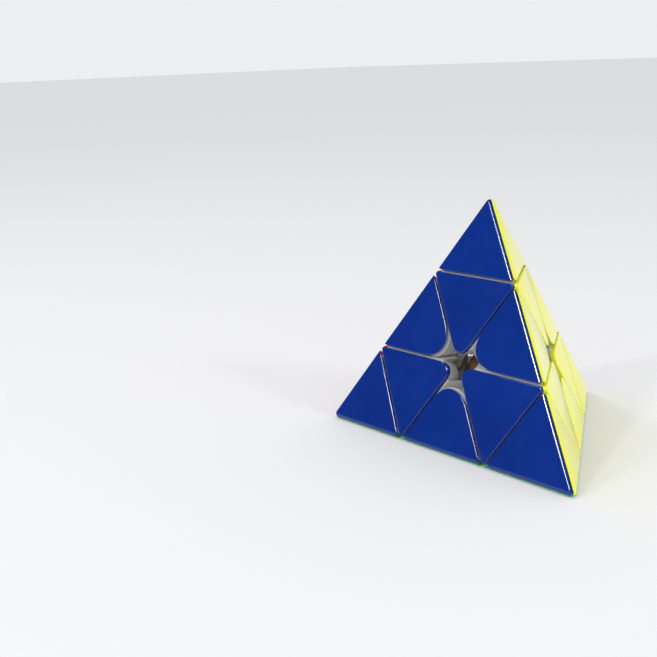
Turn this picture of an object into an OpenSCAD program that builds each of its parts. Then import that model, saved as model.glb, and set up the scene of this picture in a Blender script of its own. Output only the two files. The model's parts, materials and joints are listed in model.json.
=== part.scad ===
// Pyramid twisty puzzle: four turning corner layers and four turning tips on one core.
// Origin at the middle of the core, where the four turning axes meet. +Z points to the top
// tip, the green face lies flat at the bottom. Millimetres.

/* [Overall] */
// Edge of the sharp-cornered pyramid that the outer faces lie on
edge_len = 101; // [84:1:120]
// Thickness of the coloured caps
cap_t = 1.5; // [1.2:0.1:2]
// How far a frame stays back from the plane that it turns on
frame_gap = 0.15; // [0.1:0.05:0.3]
// How far a cap's edge stays back from the same plane
cap_gap = 0.36; // [0.3:0.02:0.6]
// Gap between the two caps that meet along a ridge, on each side
ridge_gap = 0.06; // [0.04:0.01:0.2]

/* [Cap corners] */
// Radius of the ball-shaped end of each tip of the pyramid
vertex_r = 3.6; // [2:0.1:5]
// Radius at the small outer corners
corner_r = 1.3; // [0.8:0.1:2]
// Radius at the inner corner of a corner-layer cap
star_axial_r = 3.7; // [2:0.1:5]
// Radius at the inner corner of an edge cap
star_edge_r = 7.2; // [5:0.1:8]

/* [Core] */
// Radius of the ball of the core
ball_r = 8.5; // [7:0.1:9]
// Radius of the four posts
post_r = 3.2; // [2.8:0.1:3.6]
// Running gap between a post and the boss that turns on it
post_gap = 0.05; // [0.02:0.01:0.1]
// Wall of the boss
boss_wall = 1.35; // [1:0.05:1.5]
// Gap between parts that pass each other without touching
free_gap = 0.4; // [0.3:0.05:0.6]

/* [Edge feet] */
// Height of an edge's neck from its inner ridge to the top of its foot
neck_rise = 3.1; // [2.8:0.1:3.6]
// Thickness of a foot
foot_t = 3.8; // [3:0.1:4.2]
// Half the width of a foot and its neck
foot_half_w = 3.6; // [2.5:0.1:4]
// Sliding gap between a foot and the corner piece above it
foot_gap = 0.25; // [0.2:0.05:0.4]

/* [Tensioner] */
// Radius of the screw's shank
screw_r = 1.3; // [1:0.1:1.5]
// Gap between the shank and the shoulder that it passes through
shank_gap = 0.05; // [0.02:0.01:0.1]
// Radius of the screw's head
screw_head_r = 2.9; // [2.5:0.1:3.2]
// Height of the screw's head
screw_head_h = 1.8; // [1.5:0.1:2.2]
// Radius of the head's six-sided recess, over its corners
recess_r = 1.6; // [1.2:0.1:2]
// Depth of the recess
recess_t = 1.1; // [0.8:0.1:1.4]
// Room between the screw's head and the underside of the tip's stem
head_room = 1.9; // [1:0.1:3]
// Thickness of the shoulder that the spring presses on
shoulder_t = 1.6; // [1.2:0.1:2]
// Length of the spring as fitted
spring_len = 5.4; // [4.5:0.1:5.8]
// Radius of the spring at the middle of its wire
spring_r = 2.65; // [2.5:0.05:2.8]
// Thickness of the spring's wire
wire_d = 0.6; // [0.4:0.05:0.7]
// Number of turns of the spring
spring_turns = 4.5; // [3.5:0.5:5.5]
// Radius of the stepped dial on the spring
dial_r = 3.5; // [3.3:0.05:3.6]
// Thickness of the dial
dial_t = 1.4; // [1:0.1:1.6]
// Radius of the well that the spring and dial sit in
well_r = 3.8; // [3.7:0.05:4]

/* [Tips] */
// Radius of the stem that a tip turns on
stem_r = 4.1; // [3.9:0.05:4.3]
// Running gap round the stem
stem_gap = 0.05; // [0.02:0.01:0.1]
// Radius of the bore in the stem
stem_bore_r = 3.1; // [3:0.05:3.3]
// Thickness of the collar that the stem passes through
collar_t = 2; // [1.6:0.1:2.2]
// How far the stem's lip stands out under the collar
lip_out = 0.55; // [0.4:0.05:0.7]
// Height of the lip
lip_h = 0.9; // [0.7:0.1:1]
// Radius of the room below the collar
lip_room_r = 5.1; // [5:0.05:5.4]
// Wall of the hub round that room
hub_wall = 1.5; // [1.2:0.1:2]
// How far a tip's frame is cut back at its point
apex_trim = 2; // [1:0.5:4]

/* [Wells and magnets] */
// Depth of the three lightening wells in a corner piece
light_depth = 15.2; // [8:0.1:18]
// Wall between a lightening well and the hub
light_wall = 1.3; // [1:0.1:1.5]
// Thinnest wall between a lightening well and the caps
light_skin = 0.8; // [0.6:0.1:1.2]
// Radius of a magnet
magnet_r = 2.2; // [1.5:0.1:2.5]
// Thickness of a magnet
magnet_t = 1.6; // [1:0.1:2]
// Distance of a magnet from the turning axis of the layer that it lines up
magnet_reach = 22; // [20:0.5:25]
// How deep a magnet sits under the face
magnet_sunk = 0.25; // [0.2:0.05:0.5]

/* [Hidden] */
$fn = 48;
ARC_STEPS = 8;
BIG = 400;

// The pyramid: distances of the faces, of the layer cuts and of the tip cuts from the core
face_d = edge_len * sqrt(6) / 12;
cut_d = face_d / 3;
tip_d = face_d * 5 / 3;
under_d = face_d - cap_t;
spread_s = 2 * sqrt(2) / 3;
third_side = edge_len / 3;
third_h = third_side * sqrt(3) / 2;

// The ball-shaped end of a tip: its middle, and the height where it leaves the ridges
ball_end_z = 3 * face_d - sqrt(3) * vertex_r;
ball_end_start = 3 * face_d - 2 * vertex_r / sqrt(3);

// The collar and the room for a tip's lip, and the screw's parts stacked down from there
axial_top = tip_d - frame_gap;
collar_z = axial_top - collar_t;
lip_top = collar_z - free_gap;
room_z = lip_top - lip_h - free_gap;
head_top = room_z - head_room;
head_z = head_top - screw_head_h;
dial_z = head_z - dial_t;
spring_z = dial_z - spring_len;
shoulder_z = spring_z - shoulder_t;
post_end = shoulder_z - free_gap;

// The feet and bosses round the core
foot_r_out = cut_d * sqrt(3) + neck_rise;
foot_r_in = foot_r_out - foot_t;
under_r = foot_r_out + foot_gap;
boss_r = post_r + post_gap + boss_wall;
boss_bottom = ball_r + free_gap;
foot_cut = spread_s * boss_r - boss_bottom / 3 + free_gap;
hub_r = lip_room_r + hub_wall;

// A lightening well fills the corner of the triangle between the hub and the caps
light_corner = 2 * (under_d - axial_top / 3) / spread_s;
light_r = (light_corner - hub_r - light_wall - 2 * light_skin) / 3;
light_dist = hub_r + light_wall + light_r;
light_floor = axial_top - light_depth;

// Corners, in order: top, right, back, left. A face is named by the corner opposite it.
TOP = 0;
RIGHT = 1;
BACK = 2;
LEFT = 3;
CORNERS = [TOP, RIGHT, BACK, LEFT];
function base_dir(az) = [spread_s * cos(az), spread_s * sin(az), -1 / 3];
V = [[0, 0, 1], base_dir(-30), base_dir(90), base_dir(210)];
FACE_COLOUR = ["forestgreen", "firebrick", "mediumblue", "yellow"];
FRAME_COLOUR = [0.72, 0.72, 0.68];

CORNER_NAME = ["top", "right", "back", "left"];
FACE_NAME = ["green", "red", "blue", "yellow"];
EDGES = [[TOP, RIGHT], [TOP, BACK], [TOP, LEFT], [RIGHT, BACK], [BACK, LEFT], [LEFT, RIGHT]];
function edge_name(e) = str(CORNER_NAME[e[0]], "_", CORNER_NAME[e[1]]);
function has(e, c) = e[0] == c || e[1] == c;
function others(c) = [for (k = CORNERS) if (k != c) k];
function faces_of(e) = [for (k = CORNERS) if (!has(e, k)) k];

// ---- placing -------------------------------------------------------------------------

function unit(a) = a / norm(a);

// Children's +Z turned to z and their +X as near to x as that allows
module along(z, x) {
    w = unit(z);
    u = unit(x - (x * w) * w);
    s = cross(w, u);
    multmatrix([[u.x, s.x, w.x, 0], [u.y, s.y, w.y, 0], [u.z, s.z, w.z, 0], [0, 0, 0, 1]]) children();
}

// Corner c's turning axis as +Z, with +X towards the face f
module on_corner(c, f) along(V[c], -V[f]) children();

// Face f's plane as z = 0, +Z outwards, with +X towards the direction d
module on_face(f, d) along(-V[f], d) translate([0, 0, face_d]) children();

// Everything below the height d along n
module below(n, d) {
    side = abs(n.z) < 0.9 ? [0, 0, 1] : [1, 0, 0];
    along(n, side) translate([-BIG / 2, -BIG / 2, d - BIG]) cube(BIG);
}

module beyond(n, d) below(-n, -d);

// ---- outlines ------------------------------------------------------------------------

// Points of an arc of radius r that rounds a 60 degree corner at p, which points along a
function round_corner(p, a, r) = r == 0 ? [p] :
    let (m = p - 2 * r * [cos(a), sin(a)])
    [for (k = [0:ARC_STEPS]) m + r * [cos(a - 60 + 120 * k / ARC_STEPS), sin(a - 60 + 120 * k / ARC_STEPS)]];

// Triangle between x0 and x1 that points to -X, with its own radius at the pointed corner
module pointed_triangle(x0, x1, point_r, base_r) {
    h = (x1 - x0) / sqrt(3);
    polygon(concat(
        round_corner([x0, 0], 180, point_r),
        round_corner([x1, -h], -60, base_r),
        round_corner([x1, h], 60, base_r)
    ));
}

// ---- cap shapes, in a face's frame with +X along the cap's own middle line ------------

module cap_plate(x0, x1, point_r, base_r) {
    translate([0, 0, -cap_t]) linear_extrude(cap_t) pointed_triangle(x0, x1, point_r, base_r);
}

// The bevelled plane between two faces, on the side of the cap
module mitre(f, g) below(unit(V[f] - V[g]), -ridge_gap);

module corner_cap(c, f) {
    color(FACE_COLOUR[f])
        on_face(f, V[c]) cap_plate(2 * cap_gap, third_h - cap_gap, star_axial_r, corner_r);
}

module edge_cap(e, f) {
    g = other_face(e, f);
    color(FACE_COLOUR[f])
        intersection() {
            on_face(f, V[e[0]] + V[e[1]]) cap_plate(2 * cap_gap, third_h, star_edge_r, corner_r);
            mitre(f, g);
            beyond(V[e[0]], cut_d + cap_gap * spread_s);
            beyond(V[e[1]], cut_d + cap_gap * spread_s);
        }
}

module tip_cap(c, f) {
    color(FACE_COLOUR[f])
        difference() {
            intersection() {
                on_face(f, V[c]) translate([2 * third_h, 0]) mirror([1, 0, 0])
                    cap_plate(0, third_h - cap_gap, 0, corner_r);
                intersection_for(g = [for (k = others(c)) if (k != f) k]) mitre(f, g);
                beyond(V[c], tip_d + cap_gap * spread_s);
            }
            difference() {
                beyond(V[c], ball_end_start);
                translate(V[c] * ball_end_z) along(cross(V[c], V[f]), -V[c]) sphere(vertex_r, $fn = 64);
            }
        }
}

// The second face that an edge touches
function other_face(e, f) = [for (g = faces_of(e)) if (g != f) g][0];

// Room cut from a frame at the middle of a face, round to the radius r
module star_cut(f, d, r) {
    depth = face_d - foot_r_out + neck_rise / 2;
    on_face(f, d) translate([0, 0, -depth]) difference() {
        translate([-1, -r, 0]) cube([1.5 * r + 1, 2 * r, depth + 1]);
        translate([2 * (r + frame_gap), 0, -1]) cylinder(r = r, h = depth + 3, $fn = 64);
    }
}

// ---- core ----------------------------------------------------------------------------

// The ball with the top post, turned as one shape
module ball_and_post() {
    rotate_extrude($fn = 64) intersection() {
        union() {
            circle(ball_r, $fn = 64);
            square([post_r, post_end]);
        }
        translate([0, -BIG / 2]) square(BIG);
    }
}

module core() {
    color("dimgray")
        difference() {
            union() {
                ball_and_post();
                for (c = others(TOP)) along(V[c], [1, 0, 0]) cylinder(r = post_r, h = post_end);
            }
            for (c = CORNERS) along(V[c], [1, 0, 0]) translate([0, 0, ball_r]) cylinder(r = screw_r, h = post_end);
        }
}

module tension_screws() {
    color("silver")
        for (c = CORNERS) along(V[c], [1, 0, 0]) difference() {
            union() {
                translate([0, 0, ball_r]) cylinder(r = screw_r, h = head_top - ball_r);
                translate([0, 0, head_z]) cylinder(r = screw_head_r, h = screw_head_h);
            }
            translate([0, 0, head_top - recess_t]) cylinder(r = recess_r, h = recess_t + 1, $fn = 6);
        }
}

// A helix of round wire, as rings of points joined by quads
module coil(r, wire, height, turns) {
    sides = 6;
    steps = round(turns * 14);
    rise = (height - wire) / steps;
    pts = [for (k = [0:steps]) for (s = [0:sides - 1])
        let (a = k * turns * 360 / steps, b = s * 360 / sides, q = r + wire / 2 * cos(b))
        [q * cos(a), q * sin(a), wire / 2 + k * rise + wire / 2 * sin(b)]];
    first = [for (s = [0:sides - 1]) s];
    last = [for (s = [sides - 1:-1:0]) steps * sides + s];
    quads = [for (k = [0:steps - 1]) for (s = [0:sides - 1])
        let (n = (s + 1) % sides)
        [k * sides + s, (k + 1) * sides + s, (k + 1) * sides + n, k * sides + n]];
    polyhedron(pts, concat([first], quads, [last]));
}

module tension_springs() {
    color("lightgray")
        for (c = CORNERS) along(V[c], [1, 0, 0]) translate([0, 0, spring_z + free_gap / 4])
            coil(spring_r, wire_d, spring_len - free_gap / 2, spring_turns);
}

module tension_dials() {
    steps = 8;
    notch_r = 0.4;
    color("white")
        for (c = CORNERS) along(V[c], [1, 0, 0]) translate([0, 0, dial_z]) difference() {
            cylinder(r = dial_r, h = dial_t);
            translate([0, 0, -1]) cylinder(r = screw_r, h = dial_t + 2);
            for (k = [0:steps - 1]) rotate(k * 360 / steps) translate([dial_r, 0, -1])
                cylinder(r = notch_r, h = dial_t + 2, $fn = 16);
        }
}

// ---- corner pieces -------------------------------------------------------------------

module corner_block(c) {
    intersection() {
        beyond(V[c], cut_d + frame_gap);
        below(V[c], axial_top);
        intersection_for(f = others(c)) below(-V[f], under_d);
        intersection_for(f = others(c)) below(V[f], cut_d - frame_gap);
    }
}

module hub_room(c) {
    along(V[c], [1, 0, 0]) {
        translate([0, 0, boss_bottom - 1]) cylinder(r = post_r + post_gap, h = shoulder_z - boss_bottom + 1);
        translate([0, 0, shoulder_z - 1]) cylinder(r = screw_r + shank_gap, h = shoulder_t + 2);
        translate([0, 0, spring_z]) cylinder(r = well_r, h = room_z - spring_z + 1);
        translate([0, 0, room_z]) cylinder(r = lip_room_r, h = collar_z - room_z);
        translate([0, 0, collar_z - 1]) cylinder(r = stem_r + stem_gap, h = collar_t + 2);
    }
}

// The flat-bottomed hole for a magnet, sunk into the plane that layer t turns on, at corner c
module magnet_spot(t, c, side, r, sunk, t_mag) {
    along(V[t], V[c]) translate([magnet_reach, 0, cut_d + side * (frame_gap + sunk) - (side < 0 ? t_mag : 0)])
        cylinder(r = r, h = t_mag, $fn = 32);
}

module corner_frame(c) {
    color(FRAME_COLOUR)
        difference() {
            union() {
                difference() {
                    corner_block(c);
                    sphere(under_r, $fn = 64);
                }
                along(V[c], [1, 0, 0]) translate([0, 0, boss_bottom]) cylinder(r = boss_r, h = spring_z - boss_bottom);
            }
            hub_room(c);
            for (f = others(c)) {
                star_cut(f, V[c], star_axial_r);
                on_corner(c, f) rotate(60) translate([light_dist, 0, light_floor])
                    cylinder(r = light_r, h = tip_d);
                magnet_spot(f, c, -1, magnet_r, -1, magnet_t + magnet_sunk + 1);
            }
        }
}

// ---- tips ----------------------------------------------------------------------------

module tip_frame(c) {
    color(FRAME_COLOUR)
        difference() {
            union() {
                intersection() {
                    beyond(V[c], tip_d + frame_gap);
                    below(V[c], 3 * under_d - apex_trim);
                    intersection_for(f = others(c)) below(-V[f], under_d);
                }
                along(V[c], [1, 0, 0]) {
                    translate([0, 0, lip_top - lip_h]) cylinder(r = stem_r, h = tip_d + 1 - lip_top + lip_h);
                    translate([0, 0, lip_top - lip_h]) cylinder(r = stem_r + lip_out, h = lip_h);
                }
            }
            along(V[c], [1, 0, 0]) translate([0, 0, room_z - 1]) cylinder(r = stem_bore_r, h = tip_d + 4 - room_z);
        }
}

// ---- edges ---------------------------------------------------------------------------

module edge_block(e) {
    intersection() {
        intersection_for(c = e) beyond(V[c], cut_d + frame_gap);
        intersection_for(c = e) below(V[c], tip_d - corner_r);
        intersection_for(f = faces_of(e)) below(-V[f], under_d);
    }
}

module neck_room(e) {
    along(V[e[0]] + V[e[1]], V[e[0]] - V[e[1]]) translate([-BIG / 2, -foot_half_w, 0]) cube([BIG, 2 * foot_half_w, BIG]);
}

module foot(e) {
    intersection() {
        difference() {
            sphere(foot_r_out, $fn = 64);
            sphere(foot_r_in, $fn = 64);
        }
        neck_room(e);
        intersection_for(c = e) beyond(V[c], foot_cut);
    }
}

module edge_frame(e) {
    color(FRAME_COLOUR)
        difference() {
            union() {
                difference() {
                    edge_block(e);
                    difference() {
                        sphere(under_r, $fn = 64);
                        neck_room(e);
                    }
                }
                foot(e);
            }
            for (f = faces_of(e)) star_cut(f, V[e[0]] + V[e[1]], star_edge_r);
            magnet_spot(e[0], e[1], 1, magnet_r, -1, magnet_t + magnet_sunk + 1);
            magnet_spot(e[1], e[0], 1, magnet_r, -1, magnet_t + magnet_sunk + 1);
        }
}

module edge_magnets(e) {
    color("lightsteelblue") {
        magnet_spot(e[0], e[1], 1, magnet_r, magnet_sunk, magnet_t);
        magnet_spot(e[1], e[0], 1, magnet_r, magnet_sunk, magnet_t);
    }
}

// ---- the object ----------------------------------------------------------------------

core();
tension_screws();
tension_springs();
tension_dials();
for (c = CORNERS) {
    corner_frame(c);
    tip_frame(c);
    for (f = others(c)) {
        corner_cap(c, f);
        tip_cap(c, f);
    }
}
for (e = EDGES) {
    edge_frame(e);
    edge_magnets(e);
    for (f = faces_of(e))
        edge_cap(e, f);
}
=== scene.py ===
import json
import math

import bmesh
import bpy
from mathutils import Matrix, Vector


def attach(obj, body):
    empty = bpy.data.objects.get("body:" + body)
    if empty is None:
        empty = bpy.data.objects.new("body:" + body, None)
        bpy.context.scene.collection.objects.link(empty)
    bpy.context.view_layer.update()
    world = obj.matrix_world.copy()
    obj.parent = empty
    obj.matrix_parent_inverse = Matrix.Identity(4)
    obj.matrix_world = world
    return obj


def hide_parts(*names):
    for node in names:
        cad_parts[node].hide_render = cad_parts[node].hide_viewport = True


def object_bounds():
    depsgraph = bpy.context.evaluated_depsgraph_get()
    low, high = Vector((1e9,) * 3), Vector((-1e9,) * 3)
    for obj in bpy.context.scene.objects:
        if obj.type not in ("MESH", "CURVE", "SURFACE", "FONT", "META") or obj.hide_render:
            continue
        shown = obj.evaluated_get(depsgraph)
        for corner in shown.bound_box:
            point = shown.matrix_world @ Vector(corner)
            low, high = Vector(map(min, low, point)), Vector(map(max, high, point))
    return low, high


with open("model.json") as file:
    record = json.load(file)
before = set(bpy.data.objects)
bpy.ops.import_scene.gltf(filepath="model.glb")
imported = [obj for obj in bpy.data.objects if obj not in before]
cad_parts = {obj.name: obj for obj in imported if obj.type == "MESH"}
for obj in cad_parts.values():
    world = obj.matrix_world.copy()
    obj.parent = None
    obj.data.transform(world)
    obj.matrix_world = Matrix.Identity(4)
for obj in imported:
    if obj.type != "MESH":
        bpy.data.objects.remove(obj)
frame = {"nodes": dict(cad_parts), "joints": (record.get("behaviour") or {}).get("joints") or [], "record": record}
cad_box = [list(map(float, corner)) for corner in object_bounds()]

MM = 0.001

# ---- the pyramid, from the frame -----------------------------------------------------

CORNERS = ("top", "right", "back", "left")
# A face lies opposite a corner, and is named by its colour
FACE_OPPOSITE = {"green": "top", "red": "right", "blue": "back", "yellow": "left"}
BODIES = frame["record"]["behaviour"]["bodies"]
AXIS = {j["name"]: Vector(j["axis"]).normalized() for j in frame["joints"]}
TO_CORNER = {c: AXIS["layer_" + c] for c in CORNERS}
NORMAL = {f: -TO_CORNER[c] for f, c in FACE_OPPOSITE.items()}
# Distances from the middle of the pyramid to its faces and to its sharp corners
FACE_D = -frame["record"]["mounts"][0]["pos_m"][2]
CORNER_D = 3 * FACE_D
# Distances on a face, from its middle to its ridges and to its sharp corners
RIDGE_X = math.sqrt(2) * FACE_D
FACE_CORNER_X = 2 * RIDGE_X
# A tip is cut off as far from the middle of a face as a ridge lies
TIP_CUT_X = RIDGE_X
# How far a slanting side runs in for each unit of depth
MITRE_SLOPE = math.sqrt(2)
CUT_SLOPE = math.sqrt(2) / 4
# On a face, the angles of the normals of the two cuts beside a corner or edge piece, and of
# the two ridges beside a tip
RADIAL = (math.radians(120), math.radians(-120))
TIP_RIDGES = (math.radians(60), math.radians(-60))

# ---- sizes of the caps ---------------------------------------------------------------

CAP_T = 1.5 * MM
CAP_GAP = 0.24 * MM
RIDGE_GAP = 0.12 * MM
CORNER_R = 1.0 * MM
STAR_CORNER_R = 3.7 * MM
STAR_EDGE_R = 7.2 * MM
RIM_R = 0.5 * MM
# How many strips make up each round
CORNER_STEPS = 6
STAR_CORNER_STEPS = 12
STAR_EDGE_STEPS = 16
RIM_STEPS = 4
# A ridge is round, and so is the point where three ridges meet, which lies this far inside
# the sharp corner. The cuts make strips that follow those rounds, and each number is a
# distance from the ridge or from the point.
RIDGE_R = 1.5 * MM
RIDGE_CUTS = [step * MM for step in (0.15, 0.4, 0.7, 1.0, 1.3, 1.6, 1.9, 2.15)]
POINT_BACK = 3.0 * MM
POINT_CUTS = [step * MM for step in (0.8, 1.6, 2.4, 3.2, 4.0, 4.8, 5.6, 6.4)]
# How far the round crest of a ridge lies inside the sharp one
CREST_BACK = RIDGE_R * (math.sqrt(3) - 1)
# How far a cap ends before the ridge on its own face, to leave the gap across the mitre
RIDGE_BACK = math.sqrt(3) * RIDGE_GAP
# Lengths below this count as none
TINY = 0.001 * MM
# Edges that turn by more than this are shown sharp
SHARP_FROM = math.radians(50)


# ---- materials -----------------------------------------------------------------------

# Sockets of a Mix node, which share their names between numbers and colours
MIX_SHARE, MIX_FIRST_NUMBER, MIX_SECOND_NUMBER, MIX_FIRST_COLOUR, MIX_SECOND_COLOUR = 0, 2, 3, 6, 7
MIXED_NUMBER, MIXED_COLOUR = 0, 2


class Shader:
    """A material with a Principled shader and short ways to add nodes to it."""

    def __init__(self, name, colour, roughness, metallic=0.0):
        self.material = bpy.data.materials.new(name)
        self.material.use_nodes = True
        self.nodes = self.material.node_tree.nodes
        self.links = self.material.node_tree.links
        self.shader = self.nodes["Principled BSDF"]
        self.shader.inputs["Base Color"].default_value = (*colour, 1.0)
        self.shader.inputs["Roughness"].default_value = roughness
        self.shader.inputs["Metallic"].default_value = metallic
        self.place = self.nodes.new("ShaderNodeTexCoord").outputs["Object"]

    def put(self, socket, value):
        self.shader.inputs[socket].default_value = value

    def noise(self, scale, detail=3.0, rough=0.5):
        """A soft pattern from 0 to 1, with about this many patches to a metre."""
        node = self.nodes.new("ShaderNodeTexNoise")
        node.inputs["Scale"].default_value = scale
        node.inputs["Detail"].default_value = detail
        node.inputs["Roughness"].default_value = rough
        self.links.new(self.place, node.inputs["Vector"])
        return node.outputs["Fac"]

    def spread(self, source, low, high, start=0.3, end=0.7):
        """Stretches the part of a pattern between start and end over low to high."""
        node = self.nodes.new("ShaderNodeMapRange")
        node.inputs["From Min"].default_value = start
        node.inputs["From Max"].default_value = end
        node.inputs["To Min"].default_value = low
        node.inputs["To Max"].default_value = high
        self.links.new(source, node.inputs["Value"])
        return node.outputs["Result"]

    def blend(self, factor, first, second):
        node = self.nodes.new("ShaderNodeMix")
        node.data_type = "RGBA"
        node.inputs[MIX_FIRST_COLOUR].default_value = (*first, 1.0)
        node.inputs[MIX_SECOND_COLOUR].default_value = (*second, 1.0)
        self.links.new(factor, node.inputs[MIX_SHARE])
        return node.outputs[MIXED_COLOUR]

    def feed(self, source, socket):
        self.links.new(source, self.shader.inputs[socket])

    def bump(self, source, height, strength):
        node = self.nodes.new("ShaderNodeBump")
        node.inputs["Distance"].default_value = height
        node.inputs["Strength"].default_value = strength
        self.links.new(source, node.inputs["Height"])
        self.feed(node.outputs["Normal"], "Normal")


def cap_plastic(name, colour, lighter, shine):
    """Glossy moulded cap: a polished skin with faint flow marks, dust and fine waviness."""
    m = Shader(name, colour, 0.15)
    m.put("IOR", 1.5)
    m.put("Specular IOR Level", shine)
    m.put("Coat Weight", 0.3)
    m.put("Coat Roughness", 0.06)
    cloud = m.noise(55.0, 2.0)
    m.feed(m.blend(m.spread(cloud, 0.0, 1.0), colour, lighter), "Base Color")
    smear = m.noise(260.0, 4.0, 0.6)
    m.feed(m.spread(smear, 0.11, 0.20, 0.25, 0.8), "Roughness")
    m.bump(m.noise(900.0, 2.0), 0.02 * MM, 0.25)
    return m.material


def frame_plastic(name, colour, darker, roughness):
    """Satin moulded plastic with the fine grain of an eroded mould."""
    m = Shader(name, colour, roughness)
    m.put("Specular IOR Level", 0.4)
    patch = m.noise(90.0, 3.0)
    m.feed(m.blend(m.spread(patch, 0.0, 1.0), colour, darker), "Base Color")
    m.feed(m.spread(m.noise(700.0, 2.0), roughness - 0.07, roughness + 0.07), "Roughness")
    m.bump(m.noise(3500.0, 3.0, 0.6), 0.04 * MM, 0.35)
    return m.material


def metal(name, colour, darker, roughness):
    """Bare metal, worn unevenly."""
    m = Shader(name, colour, roughness, 1.0)
    wear = m.noise(420.0, 3.0)
    m.feed(m.blend(m.spread(wear, 0.0, 1.0), colour, darker), "Base Color")
    m.feed(m.spread(m.noise(1500.0, 2.0), roughness - 0.08, roughness + 0.10), "Roughness")
    m.bump(m.noise(5200.0, 2.0), 0.01 * MM, 0.3)
    return m.material


CAP_MATERIAL = {
    "blue": cap_plastic("cap_blue", (0.0, 0.022, 0.22), (0.0, 0.028, 0.25), 0.5),
    "yellow": cap_plastic("cap_yellow", (0.90, 0.91, 0.02), (0.93, 0.94, 0.03), 0.5),
    "red": cap_plastic("cap_red", (0.60, 0.010, 0.014), (0.66, 0.016, 0.018), 0.35),
    "green": cap_plastic("cap_green", (0.03, 0.52, 0.12), (0.04, 0.56, 0.14), 0.35),
}
FRAME_GREY = frame_plastic("frame_grey", (0.57, 0.575, 0.54), (0.53, 0.535, 0.50), 0.46)
# Painted light: the core's warm brown tint stands in for shade and warm bounce light deep inside the star holes.
CORE_PAINTED_WARM_SHADE = frame_plastic("core_brown", (0.30, 0.17, 0.10), (0.24, 0.135, 0.075), 0.28)
DIAL_PLASTIC = frame_plastic("dial_white", (0.78, 0.78, 0.74), (0.70, 0.70, 0.66), 0.40)
SCREW_STEEL = metal("screw_steel", (0.68, 0.68, 0.70), (0.55, 0.55, 0.58), 0.26)
SPRING_STEEL = metal("spring_steel", (0.60, 0.60, 0.63), (0.48, 0.48, 0.52), 0.22)
MAGNET_NICKEL = metal("magnet_nickel", (0.72, 0.71, 0.68), (0.62, 0.61, 0.58), 0.16)


def dress(node, material):
    """Gives a node of the frame its material."""
    mesh = frame["nodes"][node].data
    mesh.materials.clear()
    mesh.materials.append(material)


for node in frame["nodes"]:
    if "_frame_" in node:
        dress(node, FRAME_GREY)
    elif node.startswith("edge_magnets"):
        dress(node, MAGNET_NICKEL)
# The core gets the brown tint of painted warm bounce light and shade.
dress("core", CORE_PAINTED_WARM_SHADE)
dress("tension_screws", SCREW_STEEL)
dress("tension_springs", SPRING_STEEL)
dress("tension_dials", DIAL_PLASTIC)


# ---- making pieces -------------------------------------------------------------------

def turned(z, x):
    """A matrix with +Z along z and +X as near to x as that allows."""
    w = z.normalized()
    u = (x - x.dot(w) * w).normalized()
    return Matrix((u, w.cross(u), w)).transposed().to_4x4()


def on_face(face, direction):
    """Face plane as z = 0 with +Z outwards, +X from its middle along the direction."""
    return Matrix.Translation(NORMAL[face] * FACE_D) @ turned(NORMAL[face], direction)


def as_object(name, bm, material):
    """Makes a finished mesh an object, smooth but for its sharp edges."""
    mesh = bpy.data.meshes.new(name)
    bm.to_mesh(mesh)
    bm.free()
    mesh.materials.append(material)
    mesh.shade_smooth()
    mesh.set_sharp_from_angle(angle=SHARP_FROM)
    piece = bpy.data.objects.new(name, mesh)
    bpy.context.collection.objects.link(piece)
    return piece


def meet(a, b):
    """Where two lines meet, each given by the angle of its normal and its distance."""
    (ang_a, d_a), (ang_b, d_b) = a, b
    ca, sa, cb, sb = (math.cos(ang_a), math.sin(ang_a), math.cos(ang_b), math.sin(ang_b))
    det = ca * sb - sa * cb
    return Vector(((d_a * sb - d_b * sa) / det, (d_b * ca - d_a * cb) / det, 0.0))


def bevel(bm, edges, width, steps):
    return bmesh.ops.bevel(
        bm, geom=edges, offset=width, offset_type="OFFSET", segments=steps,
        profile=0.5, affect="EDGES", clamp_overlap=True, material=-1)


def cut_beside(bm, angle, distance, steps):
    """Cuts the plate along lines that lie further and further inside one line."""
    out = Vector((math.cos(angle), math.sin(angle), 0))
    for step in steps:
        bmesh.ops.bisect_plane(bm, geom=[*bm.verts, *bm.edges, *bm.faces],
                               plane_co=out * (distance - step), plane_no=out)


def on_ridge(edge, sides):
    """Whether an edge of the plate lies on one of its sides that end at a ridge."""
    middle = (edge.verts[0].co + edge.verts[1].co) / 2
    ridges = [(ang, d) for ang, d, slope in sides if slope == MITRE_SLOPE]
    return any(abs(middle.x * math.cos(ang) + middle.y * math.sin(ang) - d) < TINY
               for ang, d in ridges)


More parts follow.
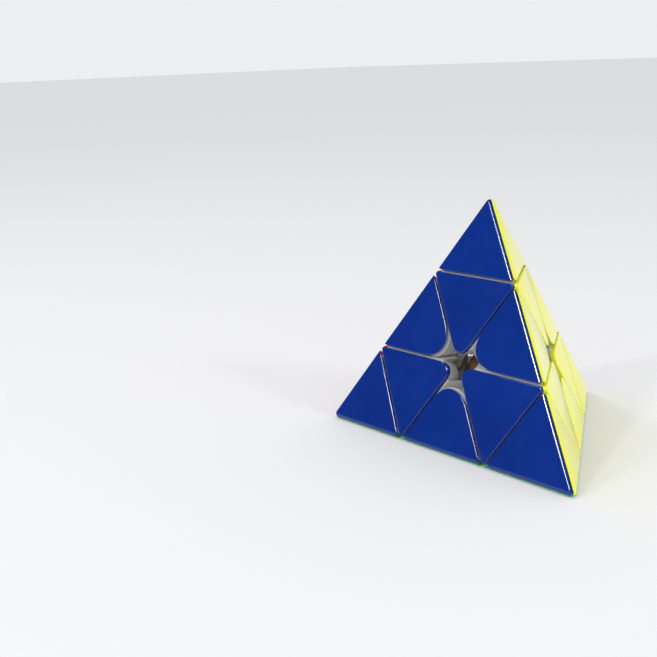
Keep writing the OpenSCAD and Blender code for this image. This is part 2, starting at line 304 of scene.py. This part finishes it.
def triangle_plate(sides, radii, arc_steps):
    """A three-sided plate. Each side is (angle of its normal, distance, slope inwards); each
    corner, between a side and the next, is rounded to its radius, or left sharp for none. The
    rim is rounded over, but for the ridges, which are cut into strips for rounding later."""
    # A bevel of a corner of 60 degrees starts this many radii away from it
    start_share = math.sqrt(3)
    bm = bmesh.new()
    top = [meet(sides[k][:2], sides[(k + 1) % 3][:2]) for k in range(3)]
    low_sides = [(ang, d - slope * CAP_T) for ang, d, slope in sides]
    low = [meet(low_sides[k], low_sides[(k + 1) % 3]) for k in range(3)]
    face = bm.faces.new([bm.verts.new(p) for p in top])
    face.normal_update()
    if face.normal.z < 0:
        face.normal_flip()
    out = bmesh.ops.extrude_face_region(bm, geom=[face], use_keep_orig=True)
    moved = [v for v in out["geom"] if isinstance(v, bmesh.types.BMVert)]
    for v in moved:
        near = min(range(3), key=lambda k: (top[k] - v.co).length)
        v.co = low[near] - Vector((0, 0, CAP_T))
    bmesh.ops.recalc_face_normals(bm, faces=bm.faces)
    for k, radius in enumerate(radii):
        if radius:
            corner = [e for e in bm.edges
                      if abs(e.verts[0].co.z - e.verts[1].co.z) > CAP_T / 2
                      and min((v.co - top[k]).length for v in e.verts) < TINY]
            bevel(bm, corner, radius * start_share, arc_steps[k])
    rim = [e for e in bm.edges if all(abs(v.co.z) < TINY for v in e.verts)]
    bevel(bm, [e for e in rim if not on_ridge(e, sides)], RIM_R, RIM_STEPS)
    for ang, d, slope in sides:
        if slope == MITRE_SLOPE:
            cut_beside(bm, ang, d, RIDGE_CUTS)
    return bm


def round_ridge(bm, face, beside):
    """Draws what stands out over the ridge between two faces back onto a round of RIDGE_R."""
    a, b = NORMAL[face], NORMAL[beside]
    middle = (a + b) * (FACE_D - RIDGE_R) / (1 + a.dot(b))
    for v in bm.verts:
        along_a, along_b = (v.co - middle).dot(a), (v.co - middle).dot(b)
        share_a, share_b = along_a - a.dot(b) * along_b, along_b - a.dot(b) * along_a
        out = (a * share_a + b * share_b) / (1 - a.dot(b) ** 2)
        if share_a > 0 and share_b > 0 and out.length > RIDGE_R:
            v.co += out * (RIDGE_R / out.length - 1)


def round_point(bm, corner):
    """Draws the point where three ridges meet back onto a ball that the ridges run into."""
    sink = (POINT_BACK - CREST_BACK) / (1 - 1 / math.sqrt(3))
    middle = TO_CORNER[corner] * (CORNER_D - sink)
    radius = sink - POINT_BACK
    for v in bm.verts:
        out = v.co - middle
        if out.length > radius and out.dot(TO_CORNER[corner]) > out.length / math.sqrt(3):
            v.co = middle + out * (radius / out.length)


def finish_cap(name, bm, face, direction, beside=(), point=None):
    """Sets a plate on its face, rounds the ridges to the faces beside it and its point, and
    puts it in the place of the plain cap of that name."""
    bmesh.ops.transform(bm, matrix=on_face(face, direction), verts=bm.verts)
    for other in beside:
        round_ridge(bm, face, other)
    if point:
        round_point(bm, point)
    piece = as_object(name.replace("_cap_", "_panel_"), bm, CAP_MATERIAL[face])
    body = next(b for b, nodes in BODIES.items() if name in nodes)
    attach(piece, body)
    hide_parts(name)


def corner_cap(corner, face):
    sides = [(0.0, TIP_CUT_X - CAP_GAP, 0.0), (RADIAL[0], -CAP_GAP, 0.0),
             (RADIAL[1], -CAP_GAP, 0.0)]
    bm = triangle_plate(sides, (CORNER_R, STAR_CORNER_R, CORNER_R),
                        (CORNER_STEPS, STAR_CORNER_STEPS, CORNER_STEPS))
    finish_cap(f"corner_cap_{corner}_{face}", bm, face, TO_CORNER[corner])


def edge_cap(edge, face):
    first, second = edge
    sides = [(0.0, RIDGE_X - RIDGE_BACK, MITRE_SLOPE), (RADIAL[0], -CAP_GAP, CUT_SLOPE),
             (RADIAL[1], -CAP_GAP, CUT_SLOPE)]
    bm = triangle_plate(sides, (CORNER_R, STAR_EDGE_R, CORNER_R),
                        (CORNER_STEPS, STAR_EDGE_STEPS, CORNER_STEPS))
    other = next(f for f, c in FACE_OPPOSITE.items() if c not in edge and f != face)
    finish_cap(f"edge_cap_{first}_{second}_{face}", bm, face, TO_CORNER[first] + TO_CORNER[second],
               [other])


def tip_cap(corner, face):
    ridge = RIDGE_X - RIDGE_BACK
    sides = [(TIP_RIDGES[0], ridge, MITRE_SLOPE), (math.pi, -TIP_CUT_X - CAP_GAP, CUT_SLOPE),
             (TIP_RIDGES[1], ridge, MITRE_SLOPE)]
    bm = triangle_plate(sides, (CORNER_R, CORNER_R, 0), (CORNER_STEPS, CORNER_STEPS, 0))
    cut_beside(bm, 0.0, FACE_CORNER_X, POINT_CUTS)
    others = [f for f, c in FACE_OPPOSITE.items() if c != corner and f != face]
    finish_cap(f"tip_cap_{corner}_{face}", bm, face, TO_CORNER[corner], others, corner)


for corner in CORNERS:
    for face, opposite in FACE_OPPOSITE.items():
        if opposite != corner:
            corner_cap(corner, face)
            tip_cap(corner, face)
for body in BODIES:
    if body.startswith("edge_"):
        edge = body.split("_")[1:]
        for face, opposite in FACE_OPPOSITE.items():
            if opposite not in edge:
                edge_cap(edge, face)


# ---- floor, light and camera ---------------------------------------------------------

FLOOR_REACH = 12.0
FLOOR_WHITE = (0.80, 0.80, 0.805)
FLOOR_SHADE = (0.79, 0.79, 0.795)


def make_floor():
    """A wide floor of matt paper under the pyramid."""
    bm = bmesh.new()
    bmesh.ops.create_grid(bm, x_segments=1, y_segments=1, size=FLOOR_REACH,
                          matrix=Matrix.Translation((0, 0, cad_box[0][2])))
    m = Shader("floor_paper", FLOOR_WHITE, 0.7)
    m.put("Specular IOR Level", 0.0)
    m.feed(m.blend(m.noise(8.0), FLOOR_WHITE, FLOOR_SHADE), "Base Color")
    as_object("floor", bm, m.material)


def make_light(name, place, size, power, only_mirrored=False):
    """A square lamp that faces the pyramid. One that is only mirrored adds a gleam, and
    lights nothing."""
    lamp = bpy.data.lights.new(name, "AREA")
    lamp.size = size
    lamp.energy = power
    holder = bpy.data.objects.new(name, lamp)
    holder.matrix_world = Matrix.Translation(place) @ turned(Vector(place), Vector((1, 0, 0)))
    holder.visible_diffuse = not only_mirrored
    bpy.context.collection.objects.link(holder)


def make_world(glow, seen, mirrored):
    """Even light all round: how bright it lights, how bright it is seen, and mirrored."""
    world = bpy.data.worlds.new("studio")
    world.use_nodes = True
    nodes, links = world.node_tree.nodes, world.node_tree.links
    back = nodes["Background"]
    back.inputs["Color"].default_value = (0.98, 0.985, 1.0, 1.0)
    ray = nodes.new("ShaderNodeLightPath")
    glow_or_mirrored = nodes.new("ShaderNodeMix")
    glow_or_mirrored.inputs[MIX_FIRST_NUMBER].default_value = glow
    glow_or_mirrored.inputs[MIX_SECOND_NUMBER].default_value = mirrored
    links.new(ray.outputs["Is Glossy Ray"], glow_or_mirrored.inputs[MIX_SHARE])
    or_seen = nodes.new("ShaderNodeMix")
    links.new(glow_or_mirrored.outputs[MIXED_NUMBER], or_seen.inputs[MIX_FIRST_NUMBER])
    or_seen.inputs[MIX_SECOND_NUMBER].default_value = seen
    links.new(ray.outputs["Is Camera Ray"], or_seen.inputs[MIX_SHARE])
    links.new(or_seen.outputs[MIXED_NUMBER], back.inputs["Strength"])
    bpy.context.scene.world = world


def towards(azimuth, elevation):
    """Direction from the middle, in degrees: 0 is the blue face's side, 90 the right."""
    a, e = math.radians(azimuth), math.radians(elevation)
    return Vector((math.sin(a) * math.cos(e), -math.cos(a) * math.cos(e), math.sin(e)))


def make_camera():
    """A close camera, turned off the middle of the pyramid by aside, down and roll degrees."""
    azimuth, elevation, distance = 36.977, 17.218, 0.3618
    aside, down, roll = 13.387, -12.225, -2.217
    sensor_width, focal_share, shift = 36.0, 1.5483, (0.1222, -0.2684)
    back = towards(azimuth + aside, elevation + down)
    level = Vector((0, 0, 1)).cross(back).normalized()
    up = back.cross(level)
    r = math.radians(roll)
    right = level * math.cos(r) + up * math.sin(r)
    upright = up * math.cos(r) - level * math.sin(r)
    data = bpy.data.cameras.new("camera")
    data.sensor_width = sensor_width
    data.lens = sensor_width * focal_share
    data.shift_x, data.shift_y = shift
    data.clip_start = 0.01
    camera = bpy.data.objects.new("camera", data)
    turn = Matrix((right, upright, back)).transposed().to_4x4()
    camera.matrix_world = Matrix.Translation(towards(azimuth, elevation) * distance) @ turn
    bpy.context.collection.objects.link(camera)
    bpy.context.scene.camera = camera


make_floor()
make_world(glow=0.92, seen=0.87, mirrored=0.05)
make_light("front_key", (0.0, -0.82, 0.57), 0.07, 1.5)
make_light("top_left", (-0.45, -0.35, 0.80), 0.12, 0.8)
make_light("right_fill", (0.75, 0.10, 0.45), 0.12, 1.1)
make_light("rim_gleam", (-0.02, -0.82, 0.61), 0.34, 11.0, only_mirrored=True)
make_camera()
bpy.context.scene.view_settings.view_transform = "Standard"
bpy.context.scene.view_settings.look = "None"
